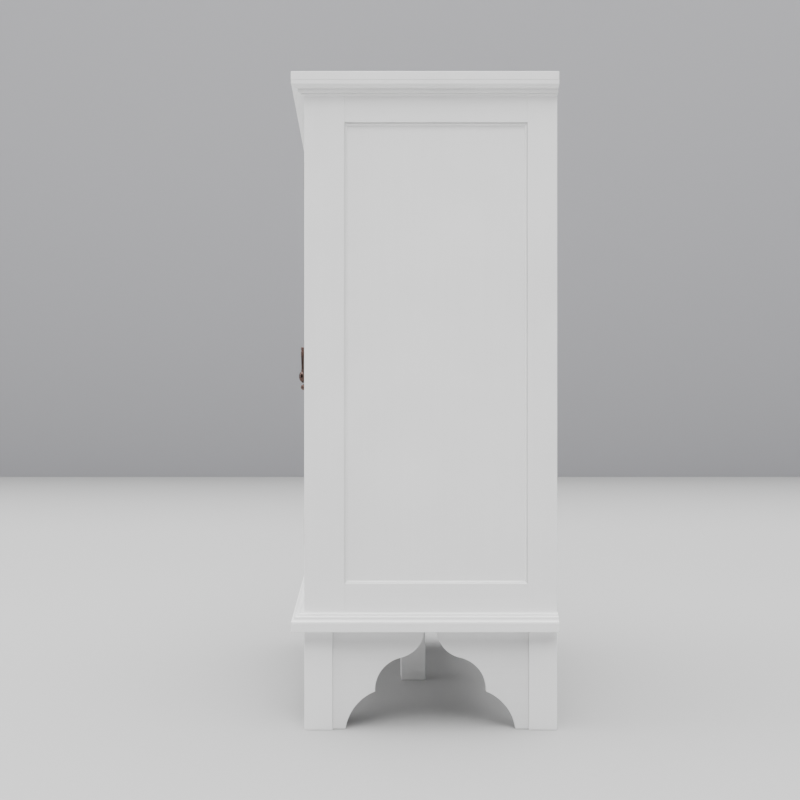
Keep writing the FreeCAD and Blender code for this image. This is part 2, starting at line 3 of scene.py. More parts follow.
import bmesh
import bpy
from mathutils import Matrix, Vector


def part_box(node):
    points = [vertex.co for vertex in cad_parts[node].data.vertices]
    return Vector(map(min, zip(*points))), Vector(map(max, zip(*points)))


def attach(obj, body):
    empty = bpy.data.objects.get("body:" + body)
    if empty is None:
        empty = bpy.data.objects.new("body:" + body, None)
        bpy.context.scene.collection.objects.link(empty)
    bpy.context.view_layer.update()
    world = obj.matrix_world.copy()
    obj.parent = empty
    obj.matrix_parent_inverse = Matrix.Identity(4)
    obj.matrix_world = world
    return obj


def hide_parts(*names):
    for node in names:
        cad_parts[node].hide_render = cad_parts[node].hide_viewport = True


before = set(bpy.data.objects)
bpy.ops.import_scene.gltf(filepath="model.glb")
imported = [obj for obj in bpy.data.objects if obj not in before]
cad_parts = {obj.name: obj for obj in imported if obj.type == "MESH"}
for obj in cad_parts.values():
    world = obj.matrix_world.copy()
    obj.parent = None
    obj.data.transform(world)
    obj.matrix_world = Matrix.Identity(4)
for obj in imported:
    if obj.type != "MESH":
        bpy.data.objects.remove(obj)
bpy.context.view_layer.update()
MM = 0.001


# ---- Legs
# Five square legs of glued-up poplar, planed, with their arrises sanded round so that the paint holds on
# them. Each is primed and brushed with satin white along its length, and screwed up into the base board.

def linear(hex_colour):
    """An sRGB hex colour as linear red, green, blue and alpha."""
    values = [int(hex_colour[i:i + 2], 16) / 255 for i in (1, 3, 5)]
    return [v / 12.92 if v <= 0.04045 else ((v + 0.055) / 1.055) ** 2.4 for v in values] + [1.0]


def add_node(tree, kind, inputs=None, **settings):
    """Adds a shader node. An input is a value, or a pair of another node and its output's name."""
    node = tree.nodes.new("ShaderNode" + kind)
    for name, value in settings.items():
        setattr(node, name, value)
    for name, value in (inputs or {}).items():
        if isinstance(value, tuple) and isinstance(value[0], bpy.types.Node):
            tree.links.new(value[0].outputs[value[1]], node.inputs[name])
        else:
            node.inputs[name].default_value = value
    return node


def new_material(name):
    material = bpy.data.materials.new(name)
    material.use_nodes = True
    material.node_tree.nodes.clear()
    return material, material.node_tree


def brushed_paint(name, along, shades=("#ECECEC", "#F1F1F1")):
    """Satin acrylic paint, brushed on primed wood and laid off along the grain: a soft sheen, broken by
    faint ridges that run the length of the piece, and a shade that wanders by a hundredth or two."""
    material, tree = new_material(name)
    ridge = 1.6 * MM  # between bristle marks
    coarse = 9 * MM  # between the wider bands that a brush's edge leaves, drawn wide enough to show
    patch = 220 * MM  # between lighter and darker patches
    place = add_node(tree, "TexCoord")

    def streaks(spacing, stretch, detail):
        scale = [1 / spacing] * 3
        scale[along] /= stretch
        turned = add_node(tree, "Mapping", {"Vector": (place, "Object"), "Scale": scale})
        return add_node(tree, "TexNoise", {"Vector": (turned, "Vector"), "Scale": 1.0, "Detail": detail})

    fine, bands = streaks(ridge, 90, 2.0), streaks(coarse, 45, 3.0)
    mottle = add_node(tree, "TexNoise", {"Vector": (place, "Object"), "Scale": 1 / patch, "Detail": 4.0})
    shade_mix = add_node(tree, "MixRGB", {"Color1": linear(shades[0]), "Color2": linear(shades[1])})
    tone = add_node(tree, "Math", {0: (bands, "Fac"), 1: 0.3, 2: (mottle, "Fac")}, operation="MULTIPLY_ADD")
    spread = add_node(tree, "MapRange", {"Value": (tone, "Value"), "From Min": 0.45, "From Max": 0.85})
    tree.links.new(spread.outputs["Result"], shade_mix.inputs["Fac"])
    sheen = add_node(tree, "MapRange", {
        "Value": (bands, "Fac"), "From Min": 0.3, "From Max": 0.7, "To Min": 0.36, "To Max": 0.52,
    })
    coarse_bump = add_node(tree, "Bump", {"Height": (bands, "Fac"), "Strength": 0.4, "Distance": 0.12 * MM})
    fine_bump = add_node(tree, "Bump", {
        "Height": (fine, "Fac"), "Strength": 0.4, "Distance": 0.06 * MM, "Normal": (coarse_bump, "Normal"),
    })
    shader = add_node(tree, "BsdfPrincipled", {
        "Base Color": (shade_mix, "Color"), "Roughness": (sheen, "Result"), "IOR": 1.49,
        "Normal": (fine_bump, "Normal"),
    })
    add_node(tree, "OutputMaterial", {"Surface": (shader, "BSDF")})
    return material


paint_across = brushed_paint("satin_paint_brushed_across", 0)
paint_deep = brushed_paint("satin_paint_brushed_front_to_back", 1)
paint_up = brushed_paint("satin_paint_brushed_upright", 2)
paint_by_grain = {"x": paint_across, "y": paint_deep, "z": paint_up}


def settle(form, name, material, body, nodes, smooth_under=38):
    """Makes the piece from its form: smooth over its curves and crisp over its edges, with flat faces that
    stay flat. nodes are the cut pieces that it stands for."""
    for edge in form.edges:
        edge.smooth = not edge.is_manifold or edge.calc_face_angle() < math.radians(smooth_under)
    for face in form.faces:
        face.smooth = True
    mesh = bpy.data.meshes.new(name)
    form.to_mesh(mesh)
    form.free()
    piece = bpy.data.objects.new(name, mesh)
    bpy.context.scene.collection.objects.link(piece)
    weighted = piece.modifiers.new("flat_faces_stay_flat", "WEIGHTED_NORMAL")
    weighted.keep_sharp = True
    settled = bpy.data.meshes.new_from_object(piece.evaluated_get(bpy.context.evaluated_depsgraph_get()))
    piece.modifiers.clear()
    piece.data = settled
    piece.data.materials.clear()
    piece.data.materials.append(material)
    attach(piece, body)
    if nodes:
        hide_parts(*nodes)


def cad_shape(node):
    """The piece as it is cut, with its flat faces whole."""
    mesh = bmesh.new()
    mesh.from_mesh(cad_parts[node].data)
    bmesh.ops.remove_doubles(mesh, verts=mesh.verts, dist=0.001 * MM)
    bmesh.ops.dissolve_limit(mesh, angle_limit=math.radians(0.5), verts=mesh.verts, edges=mesh.edges)
    return mesh


def round_over(mesh, arrises, radius, segments=3):
    bmesh.ops.bevel(
        mesh, geom=arrises, offset=radius, offset_type="OFFSET", segments=segments, profile=0.5,
        affect="EDGES", clamp_overlap=False,
    )


def ease(node, radius, grain, body="case"):
    """The planed piece with its outer arrises rounded, and every joint and mortise as it is cut."""
    mesh = cad_shape(node)
    low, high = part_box(node)
    near = 0.02 * MM

    def on_corner(edge):
        a, b = (vertex.co for vertex in edge.verts)
        touching = 0
        for i in range(3):
            for limit in (low[i], high[i]):
                touching += abs(a[i] - limit) < near and abs(b[i] - limit) < near
        return touching >= 2 and edge.is_manifold and edge.calc_face_angle() > math.radians(60)

    round_over(mesh, [edge for edge in mesh.edges if on_corner(edge)], radius)
    settle(mesh, node + "_finished", paint_by_grain[grain], body, [node])


LEG_ROUND = 2.0 * MM
for corner in ("front_left", "front_right", "back_left", "back_right", "centre"):
    ease("leg_" + corner, LEG_ROUND, "z")


# ---- Arch brackets
# Six corner brackets, bandsawn from 20 mm board to a cusped arch and sanded, with the sawn edge eased.
# They are glued and pocket-screwed to the legs and up into the base board, and clear the floor by 1 mm.

def arc(start, end, rise, steps=14):
    """Points after start up to end, on an arc that stands rise times the chord to the left of the run."""
    (u0, v0), (u1, v1) = start, end
    chord = math.hypot(u1 - u0, v1 - v0)
    half_turn = 2 * math.atan(2 * rise)
    radius = chord / 2 / math.sin(half_turn)
    middle = Vector(((u0 + u1) / 2, (v0 + v1) / 2))
    along = Vector((u1 - u0, v1 - v0)) / chord
    left = Vector((-along.y, along.x))
    centre = middle - left * radius * math.cos(half_turn)
    points = []
    for i in range(1, steps + 1):
        turn = half_turn * (1 - 2 * i / steps)
        points.append(centre + left * radius * math.cos(turn) - along * radius * math.sin(turn))
    return [(p.x, p.y) for p in points]


def outline(*points):
    """(u, v) for a straight run to a point, or (u, v, rise) for an arc to it, as a list of plain points."""
    drawn, last = [], points[-1][:2]
    for point in points:
        drawn += arc(last, point[:2], point[2]) if len(point) == 3 else [point]
        last = point[:2]
    return drawn


def prism(points, place, thickness):
    """A board cut to an outline. place turns (u, v, w) into the frame, with w from 0 to thickness."""
    mesh = bmesh.new()
    ends = []
    for w in (0, thickness):
        ends.append([mesh.verts.new(place(u, v, w)) for u, v in points])
    faces = [mesh.faces.new(ends[0]), mesh.faces.new(reversed(ends[1]))]
    for i in range(len(points)):
        j = (i + 1) % len(points)
        faces.append(mesh.faces.new((ends[0][j], ends[0][i], ends[1][i], ends[1][j])))
    bmesh.ops.recalc_face_normals(mesh, faces=mesh.faces)
    rims = [edge for face in faces[:2] for edge in face.edges]
    return mesh, rims


# A greyer copy of the satin paint for the brackets: painted shade, for the dim light under the base board.
BRACKET_PAINTED_SHADE_TONES = ("#DEDEDE", "#E7E7E7")
bracket_paint_across = brushed_paint("satin_paint_with_painted_shade_x", 0, BRACKET_PAINTED_SHADE_TONES)
bracket_paint_deep = brushed_paint("satin_paint_with_painted_shade_y", 1, BRACKET_PAINTED_SHADE_TONES)
BRACKET_ROUND = 1.5 * MM
for node in [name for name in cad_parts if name.startswith("bracket_")]:
    low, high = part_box(node)
    middle = (low + high) / 2
    runs_across = (high - low).x > (high - low).y
    length = max(high.x - low.x, high.y - low.y)
    rise = high.z - low.z
    shape = outline(
        (0.142 * length, 0), (0.467 * length, 0.376 * rise, 0.134), (0.745 * length, 0.7135 * rise, 0.18),
        (length, 0.927 * rise, -0.14), (length, rise), (0, rise), (0, 0),
    )
    if runs_across:
        start, inward = (high.x, -1) if middle.x > 0 else (low.x, 1)
        thickness = high.y - low.y
        paint = bracket_paint_across

        def place(u, v, w):
            return Vector((start + inward * u, low.y + w, low.z + v))
    else:
        start, inward = (low.y, 1) if "front" in node else (high.y, -1)
        thickness = high.x - low.x
        paint = bracket_paint_deep

        def place(u, v, w):
            return Vector((low.x + w, start + inward * u, low.z + v))
    mesh, rims = prism(shape, place, thickness)
    round_over(mesh, rims, BRACKET_ROUND, segments=2)
    settle(mesh, node + "_sawn", paint, "case", [node])


# ---- Base board and cornice board
# Two edge-glued boards that overhang the case at the front and the sides and end flush with its back.
# The base board carries the case on its legs; the cornice board closes it at the top.

BOARD_ROUND = 1.5 * MM
for node in ("base_board", "cornice_board"):
    ease(node, BOARD_ROUND, "x")


# ---- Mouldings
# Two sections run on a spindle moulder, cut in three lengths each and mitred at the front corners. The
# base moulding sits on the base board, the cornice moulding hangs under the cornice board.

def eased(points, radius=0.35 * MM):
    """Takes the sharp corners off a run of points."""
    soft = []
    count = len(points)
    for i, (u, v) in enumerate(points):
        before, here, after = Vector(points[i - 1]), Vector((u, v)), Vector(points[(i + 1) % count])
        back, on = before - here, after - here
        if back.angle(on) < math.radians(150):
            taken = min(radius, back.length / 3, on.length / 3)
            soft += [tuple(here + back.normalized() * taken), tuple(here + on.normalized() * taken)]
        else:
            soft.append((u, v))
    return soft


def mm(*points):
    """Points given in millimetres, with any arc's rise kept as it is."""
    return [tuple(value * MM for value in point[:2]) + tuple(point[2:]) for point in points]


base_section = eased(outline(*mm(
    (0, 0), (29.5, 0), (29.5, 1.2), (22, 9.3, 0.2), (17.5, 14, -0.2), (14.5, 14), (14.5, 17), (8, 22, 0.2),
    (3, 21, 0.12), (2, 20), (0, 20),
)))
# Two narrow quirks, above the flat band and above the fillet, draw the dark lines of the cornice.
cornice_section = eased(outline(*mm(
    (0, 0), (29.5, 0), (29.5, -7.5), (24.5, -13, 0.16), (18.5, -17, -0.13), (12.4, -17), (12.4, -18.2),
    (14, -18.2), (14, -25.5), (6.4, -25.5), (6.4, -26.6), (8, -26.6), (8, -29.5), (0, -29.5),
)))


def moulding(name, section, seat):
    """The front length, with a mitre at both ends, and the two returns, mitred at the front."""
    case_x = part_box("post_front_right")[1].x
    case_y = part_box("post_front_right")[0].y
    back_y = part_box("stile_back_right")[1].y

    def mitred(sign, out, up):
        return Vector((sign * (case_x + out), case_y - out, seat + up))

    def square(sign, out, up):
        return Vector((sign * (case_x + out), back_y, seat + up))

    runs = {
        "front": ((mitred, -1), (mitred, 1)),
        "right": ((mitred, 1), (square, 1)),
        "left": ((square, -1), (mitred, -1)),
    }
    for side, ends in runs.items():
        mesh = bmesh.new()
        rings = []
        for end, sign in ends:
            rings.append([mesh.verts.new(end(sign, out, up)) for out, up in section])
        mesh.faces.new(rings[0])
        mesh.faces.new(reversed(rings[1]))
        for i in range(len(section)):
            j = (i + 1) % len(section)
            mesh.faces.new((rings[0][j], rings[0][i], rings[1][i], rings[1][j]))
        bmesh.ops.recalc_face_normals(mesh, faces=mesh.faces)
        node = f"{name}_{side}"
        paint = paint_across if side == "front" else paint_deep
        settle(mesh, node + "_run", paint, "case", [node], smooth_under=30)


moulding("base_moulding", base_section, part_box("base_board")[1].z)
moulding("cornice_moulding", cornice_section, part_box("cornice_board")[0].z)


# ---- Case frame
# Frame and panel: L-shaped front posts, back stiles, and rails with stub tongues in the same grooves that
# hold the flat side panels. The side rails stand 1 mm back, so each joint shows as a fine line.

FRAME_ROUND = 1.2 * MM
RAIL_ROUND = 1.5 * MM
for side in ("left", "right"):
    ease("post_front_" + side, FRAME_ROUND, "z")
    ease("stile_back_" + side, FRAME_ROUND, "z")
    ease("side_top_rail_" + side, RAIL_ROUND, "y")
    ease("side_bottom_rail_" + side, RAIL_ROUND, "y")
for node in ("face_top_rail", "face_bottom_rail"):
    ease(node, RAIL_ROUND, "x")


def finish_node(node, material):
    """A piece whose cut shape is its final one gets its finish."""
    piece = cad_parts[node]
    if not piece.material_slots:
        piece.data.materials.append(material)
    for material_slot in piece.material_slots:
        material_slot.material = material


for side in ("left", "right"):
    finish_node("side_panel_" + side, paint_up)


# ---- Inside boards
# Cabinet floor on its bearers, partition and shelves, cut from 18 and 20 mm MDF. They are rolled, not
# brushed, so the paint has the fine stipple of a foam roller.

def rolled_paint(name, shade="#E8E8E8"):
    """Satin paint laid on MDF with a foam roller: an even stipple with no direction."""
    material, tree = new_material(name)
    stipple = 2.2 * MM
    patch = 200 * MM  # between lighter and darker patches
    place = add_node(tree, "TexCoord")
    pebble = add_node(tree, "TexNoise", {"Vector": (place, "Object"), "Scale": 1 / stipple, "Detail": 2.0})
    mottle = add_node(tree, "TexNoise", {"Vector": (place, "Object"), "Scale": 1 / patch, "Detail": 4.0})
    tone = add_node(tree, "MixRGB", {
        "Fac": (mottle, "Fac"), "Color1": linear(shade), "Color2": linear("#EEEEEE"),
    })
    sheen = add_node(tree, "MapRange", {"Value": (mottle, "Fac"), "To Min": 0.42, "To Max": 0.58})
    bump = add_node(tree, "Bump", {"Height": (pebble, "Fac"), "Strength": 0.3, "Distance": 0.1 * MM})
    shader = add_node(tree, "BsdfPrincipled", {
        "Base Color": (tone, "Color"), "Roughness": (sheen, "Result"), "IOR": 1.49,
        "Normal": (bump, "Normal"),
    })
    add_node(tree, "OutputMaterial", {"Surface": (shader, "BSDF")})
    return material


paint_rolled = rolled_paint("satin_paint_rolled_on_mdf")
for node in ("floor_board", "floor_bearers"):
    finish_node(node, paint_rolled)

LONG_EDGE = 100 * MM  # longer than any edge of a notch, hole or end
for node in ("shelves", "partition"):
    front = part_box(node)[0].y
    mesh = cad_shape(node)
    lips = []
    for edge in mesh.edges:
        at_front = all(abs(vertex.co.y - front) < 0.02 * MM for vertex in edge.verts)
        if at_front and edge.calc_length() > LONG_EDGE:
            lips.append(edge)
    round_over(mesh, lips, 1.0 * MM)
    settle(mesh, node + "_finished", paint_rolled, "case", [node])


# ---- Doors
# Two framed doors, set flush in the face frame, with stub-tongued rails and a flat panel in the grooves.
# Their arrises are eased and they are brushed like the case, stiles upright and rails across.

DOOR_ROUND = 1.2 * MM
for side in ("left", "right"):
    body = "door_" + side
    ease("door_meeting_stile_" + side, DOOR_ROUND, "z", body)
    ease("door_hinge_stile_" + side, DOOR_ROUND, "z", body)
    ease("door_top_rail_" + side, RAIL_ROUND, "x", body)
    ease("door_bottom_rail_" + side, RAIL_ROUND, "x", body)
    finish_node("door_panel_" + side, paint_up)


# ---- Panel beads
# A thin hollow-faced bead is mitred and pinned round each flat panel. It stands on the bottom rail and is
# 1 mm clear of the rest of the frame, where the gap reads as a crisp line.

BEAD_GAP = 1  # in millimetres
bead_shape = mm((BEAD_GAP, 0), (6, 0), (6, 0.9), (2, 5.2, -0.12), (BEAD_GAP, 5.2))
bead_section = eased(outline(*bead_shape), 0.25 * MM)


def panel_bead(name, opening, seat, body):
    """seat turns a place in the panel's plane, and a height above it, into the frame."""
    (low_u, high_u), (low_v, high_v) = opening
    low_v -= BEAD_GAP * MM
    mesh = bmesh.new()
    rings = []
    for u, v, in_u, in_v in (
        (low_u, low_v, 1, 1), (high_u, low_v, -1, 1), (high_u, high_v, -1, -1), (low_u, high_v, 1, -1),
    ):
        ring = [seat(u + in_u * reach, v + in_v * reach, rise) for reach, rise in bead_section]
        rings.append([mesh.verts.new(point) for point in ring])
    for ring, after in zip(rings, rings[1:] + rings[:1]):
        for i in range(len(ring)):
            j = (i + 1) % len(ring)
            mesh.faces.new((ring[i], ring[j], after[j], after[i]))
    bmesh.ops.recalc_face_normals(mesh, faces=mesh.faces)
    settle(mesh, name, paint_up, body, [], smooth_under=30)


for side, outward in (("left", -1), ("right", 1)):
    face_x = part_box("side_panel_" + side)[1 if outward > 0 else 0].x
    face_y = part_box("door_panel_" + side)[0].y
    opening = (
        (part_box("post_front_" + side)[1].y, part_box("stile_back_" + side)[0].y),
        (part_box("side_bottom_rail_" + side)[1].z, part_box("side_top_rail_" + side)[0].z),
    )
    seat = lambda u, v, rise: Vector((face_x + outward * rise, u, v))
    panel_bead("side_bead_" + side, opening, seat, "case")
    stiles = [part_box(f"door_{kind}_stile_{side}") for kind in ("hinge", "meeting")]
    stiles.sort(key=lambda box: box[0].x)
    opening = (
        (stiles[0][1].x, stiles[1][0].x),
        (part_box("door_bottom_rail_" + side)[1].z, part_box("door_top_rail_" + side)[0].z),
    )
    seat = lambda u, v, rise: Vector((u, face_y - rise, v))
    panel_bead("door_bead_" + side, opening, seat, "door_" + side)


# ---- Steel and plastic fittings
# Shelf pins, strikes and the coat rail are steel with a dull nickel plate. The magnetic catches are
# moulded in white polypropylene.

def nickel(name):
    """Nickel plate on drawn steel: a warm grey metal with faint drawing lines."""
    material, tree = new_material(name)
    length = 20  # drawing lines to a metre: each is about 50 mm long
    breadth = 900  # and 1.1 mm wide, which is wide enough to show
    place = add_node(tree, "TexCoord")
    lines = add_node(tree, "Mapping", {"Vector": (place, "Object"), "Scale": (length, breadth, breadth)})
    scratch = add_node(tree, "TexNoise", {"Vector": (lines, "Vector"), "Scale": 1.0, "Detail": 3.0})
    polish = add_node(tree, "MapRange", {"Value": (scratch, "Fac"), "To Min": 0.22, "To Max": 0.42})
    shader = add_node(tree, "BsdfPrincipled", {
        "Base Color": linear("#C9C5BC"), "Metallic": 1.0, "Roughness": (polish, "Result"),
    })
    add_node(tree, "OutputMaterial", {"Surface": (shader, "BSDF")})
    return material


def moulded_plastic(name, shade):
    """Polypropylene from a lightly sparked mould: a waxy white with a fine even grain."""
    material, tree = new_material(name)
    place = add_node(tree, "TexCoord")
    pit = 0.6 * MM  # between the mould's spark marks
    spark = add_node(tree, "TexNoise", {"Vector": (place, "Object"), "Scale": 1 / pit, "Detail": 1.0})
    bump = add_node(tree, "Bump", {"Height": (spark, "Fac"), "Strength": 0.2, "Distance": 0.05 * MM})
    shader = add_node(tree, "BsdfPrincipled", {
        "Base Color": linear(shade), "Roughness": 0.5, "IOR": 1.49, "Normal": (bump, "Normal"),
    })
    add_node(tree, "OutputMaterial", {"Surface": (shader, "BSDF")})
    return material


nickel_plate = nickel("nickel_plated_steel")
for node in ("shelf_pins", "hanging_rail", "catch_strike_left", "catch_strike_right"):
    finish_node(node, nickel_plate)
finish_node("catch_magnets", moulded_plastic("moulded_polypropylene", "#E4E3DD"))


# ---- Back panel and its screws
# An 8 mm board let into the back of the case, its edges eased, and held with twenty countersunk screws
# that stand in drilled sockets round its edge.

def skin(mesh, rings):
    """Joins rings of points, one after another, and closes both ends. A ring of one point is a tip."""
    made = [[mesh.verts.new(point) for point in ring] for ring in rings]
    sides = max(len(ring) for ring in made)
    for ring, after in zip(made, made[1:]):
        for i in range(sides):
            j = (i + 1) % sides
            near = [ring[i % len(ring)], ring[j % len(ring)]]
            far = [after[j % len(after)], after[i % len(after)]]
            mesh.faces.new(list(dict.fromkeys(near + far)))
    for ring in (made[0], made[-1]):
        if len(ring) > 2:
            mesh.faces.new(ring)


def spun(mesh, profile, place, sides=64):
    """Spins (radius, along) points round an axis. place turns (across, up, along) into the frame."""
    turns = [2 * math.pi * i / sides for i in range(sides)]
    rings = []
    for radius, along in profile:
        if radius == 0:
            rings.append([place(0, 0, along)])
        else:
            rings.append([place(radius * math.cos(turn), radius * math.sin(turn), along) for turn in turns])
    skin(mesh, rings)


def cut(mesh, cutter):
    """What is left of a closed mesh where another is cut out of it."""
    solids = []
    for source in (mesh, cutter):
        bmesh.ops.recalc_face_normals(source, faces=source.faces)
        data = bpy.data.meshes.new("cutting")
        source.to_mesh(data)
        source.free()
        solids.append(bpy.data.objects.new("cutting", data))
        bpy.context.scene.collection.objects.link(solids[-1])
    slotting = solids[0].modifiers.new("slot", "BOOLEAN")
    slotting.operation = "DIFFERENCE"
    slotting.solver = "EXACT"
    slotting.object = solids[1]
    left = bmesh.new()
    left.from_object(solids[0], bpy.context.evaluated_depsgraph_get())
    # Faces with several corners in line would leave slivers of no width.
    bmesh.ops.triangulate(left, faces=left.faces)
    bmesh.ops.dissolve_degenerate(left, edges=left.edges, dist=0.0005 * MM)
    for solid in solids:
        data = solid.data
        bpy.data.objects.remove(solid)
        bpy.data.meshes.remove(data)
    return left


def looking(point, look):
    """Turns (across, up, along) into the frame, from a point and the direction that along runs in."""
    across = look.orthogonal().normalized()
    up = look.cross(across)
    return lambda a, b, along: point + across * a + up * b + look * along


def screw_heads(seats, radius):
    """Countersunk heads with a punched cross, each seated on a point and looking in a direction."""
    heads, crosses = bmesh.new(), bmesh.new()
    arm, half = 0.56 * radius, 0.13 * radius
    plus = [
        (arm, -half), (arm, half), (half, half), (half, arm), (-half, arm), (-half, half),
        (-arm, half), (-arm, -half), (-half, -half), (-half, -arm), (half, -arm), (half, -half),
    ]
    wide = radius / MM
    head = mm((0, -1.0), (wide - 1.1, -1.0), (wide, -0.1), (wide - 0.12, 0), (0, 0.05))
    for point, look in seats:
        place = looking(point, look)
        spun(heads, head, place, 32)
        rings = []
        for share, along in ((0.6, -0.8 * MM), (1.0, -0.1 * MM), (1.05, 0.3 * MM)):
            rings.append([place(share * a, share * b, along) for a, b in plus])
        skin(crosses, rings)
    return cut(heads, crosses)


SCREW_IN = 9 * MM  # from the panel's edge
SOCKET = mm((0, -1.2), (3.6, -1.2), (3.6, 1), (0, 1))
HEADS_ACROSS, HEADS_UP = 5, 7
low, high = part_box("back_panel")
seats = []
for i in range(HEADS_UP):
    for j in range(HEADS_ACROSS):
        if i in (0, HEADS_UP - 1) or j in (0, HEADS_ACROSS - 1):
            x = low.x + SCREW_IN + (high.x - low.x - 2 * SCREW_IN) * j / (HEADS_ACROSS - 1)
            z = low.z + SCREW_IN + (high.z - low.z - 2 * SCREW_IN) * i / (HEADS_UP - 1)
            seats.append((Vector((x, high.y, z)), Vector((0, 1, 0))))
panel, sockets = cad_shape("back_panel"), bmesh.new()
round_over(panel, [edge for edge in panel.edges if edge.calc_length() > LONG_EDGE], 0.8 * MM)
for point, look in seats:
    spun(sockets, SOCKET, looking(point, look), 32)
settle(cut(panel, sockets), "back_panel_drilled", paint_rolled, "case", ["back_panel"])
sunk = [(point - look * 0.3 * MM, look) for point, look in seats]
settle(screw_heads(sunk, 3.4 * MM), "back_panel_screws", nickel_plate, "case", [])


# ---- Hinges
# Three butt hinges a door, extruded knuckles on drilled leaves, let in flush and held with countersunk
# screws. They are finished like the pulls.

def antique_copper(name):
    """Copper plate blackened in sulphide, relieved on its high edges and lacquered: a dark red-brown metal,
    faintly clouded, with pinkish copper where the buff has reached and a clear gloss over both."""
    material, tree = new_material(name)
    place = add_node(tree, "TexCoord")
    shape = add_node(tree, "NewGeometry")
    patch = 3 * MM  # between clouds
    cloud = add_node(tree, "TexNoise", {"Vector": (place, "Object"), "Scale": 1 / patch, "Detail": 5.0})
    worn = add_node(tree, "MapRange", {
        "Value": (shape, "Pointiness"), "From Min": 0.51, "From Max": 0.6, "To Max": 0.6,
    })
    clouded = add_node(tree, "MapRange", {
        "Value": (cloud, "Fac"), "From Min": 0.3, "From Max": 0.8, "To Max": 0.12,
    })
    relief = add_node(tree, "Math", {0: (worn, "Result"), 1: (clouded, "Result")}, operation="ADD")
    tone = add_node(tree, "MixRGB", {
        "Fac": (relief, "Value"), "Color1": linear("#260D06"), "Color2": linear("#CC9C8A"),
    })
    polish = add_node(tree, "MapRange", {"Value": (relief, "Value"), "To Min": 0.2, "To Max": 0.13})
    shader = add_node(tree, "BsdfPrincipled", {
        "Base Color": (tone, "Color"), "Metallic": 1.0, "Roughness": (polish, "Result"),
        "Coat Weight": 0.8, "Coat Roughness": 0.06,
    })
    add_node(tree, "OutputMaterial", {"Surface": (shader, "BSDF")})
    return material


copper = antique_copper("antique_copper_relieved")
BARREL = 2.75 * MM  # the knuckles' radius
SOFT = 0.25 * MM  # taken off the knuckles' ends
PLAY = 0.08 * MM  # at each end of a knuckle
KNUCKLES = 5
LEAF = 1.2 * MM
LEAF_HEIGHT = 64 * MM
LEAF_DEPTH = 18 * MM  # from the door's face
SCREW_DEPTH = 10 * MM  # from the door's face
HALF_GAP = 1.25 * MM  # from the hinge's axis to the wood on each side
door_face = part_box("door_hinge_stile_right")[0].y


def block(mesh, low, high):
    made = bmesh.ops.create_cube(mesh, size=1)["verts"]
    for vertex in made:
        vertex.co = [(low[i] + high[i]) / 2 + (high[i] - low[i]) * vertex.co[i] for i in range(3)]


def add_leaf(leaves, seats, axis, out, own):
    """One leaf with every other knuckle. out is the way from the axis into its wood, own its first
    knuckle."""
    wood = axis.x + out * HALF_GAP
    ends = sorted((wood, wood + out * LEAF))
    flat, cones = bmesh.new(), bmesh.new()
    front, back = axis.y + BARREL + 0.15 * MM, door_face + LEAF_DEPTH
    foot, head = axis.z - LEAF_HEIGHT / 2, axis.z + LEAF_HEIGHT / 2
    block(flat, (ends[0], front, foot), (ends[1], back, head))
    for i in range(3):
        seat = Vector((wood, door_face + SCREW_DEPTH, axis.z + (i - 1) * LEAF_HEIGHT / 3))
        sink = mm((0, -1.5), (1.7, -1.5), (3.2, 0), (3.4, 0.2), (0, 0.2))
        spun(cones, sink, looking(seat, Vector((-out, 0, 0))), 32)
        seats.append((seat + Vector((0.06 * MM * out, 0, 0)), Vector((-out, 0, 0))))
    sunk = bpy.data.meshes.new("leaf")
    drilled = cut(flat, cones)
    drilled.to_mesh(sunk)
    drilled.free()
    leaves.from_mesh(sunk)
    bpy.data.meshes.remove(sunk)
    for i in range(own, KNUCKLES, 2):
        start = axis.z + LEAF_HEIGHT * (i / KNUCKLES - 0.5) + PLAY
        end = start + LEAF_HEIGHT / KNUCKLES - 2 * PLAY
        block(leaves, (ends[0], axis.y, start), (ends[1], axis.y + BARREL + 0.2 * MM, end))
        knuckle = [
            (0, start), (BARREL - SOFT, start), (BARREL, start + SOFT), (BARREL, end - SOFT),
            (BARREL - SOFT, end), (0, end),
        ]
        spun(leaves, knuckle, lambda a, b, along: (axis.x + a, axis.y + b, along), 48)


low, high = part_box("hinge_leaves_door_right")
hinge_heights = [low.z + LEAF_HEIGHT / 2, (low.z + high.z) / 2, high.z - LEAF_HEIGHT / 2]
leaves = {body: (bmesh.new(), []) for body in ("case", "door_left", "door_right")}
for side, out in (("left", -1), ("right", 1)):
    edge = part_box("door_hinge_stile_" + side)[1 if out > 0 else 0].x
    for z in hinge_heights:
        axis = Vector((edge + out * HALF_GAP, low.y + BARREL, z))
        add_leaf(*leaves["case"], axis, out, 0)
        add_leaf(*leaves["door_" + side], axis, -out, 1)
for body, (mesh, seats) in leaves.items():
    turned_heads = bpy.data.meshes.new("heads")
    heads = screw_heads(seats, 3.1 * MM)
    heads.to_mesh(turned_heads)
    heads.free()
    mesh.from_mesh(turned_heads)
    bpy.data.meshes.remove(turned_heads)
    bmesh.ops.recalc_face_normals(mesh, faces=mesh.faces)
    node = "hinge_leaves_" + body
    settle(mesh, node + "_screwed", copper, body, [node])


# ---- Drop pulls
# A stamped back plate, a post with a slotted ball, a turned drop that swings on a pin through the ball, and
# a round knob below. Both spigots pass through the meeting stile to hexagon nuts inside the door.

def ball_points(radius, centre, neck, steps=24):
    """(radius, along) points of a ball from the neck that it stands on to its far pole."""
    first = math.asin(neck / radius)
    turns = [first + (math.pi - first) * i / steps for i in range(steps)]
    round_part = [(radius * math.sin(turn), centre - radius * math.cos(turn)) for turn in turns]
    return round_part + [(0, centre + radius)]


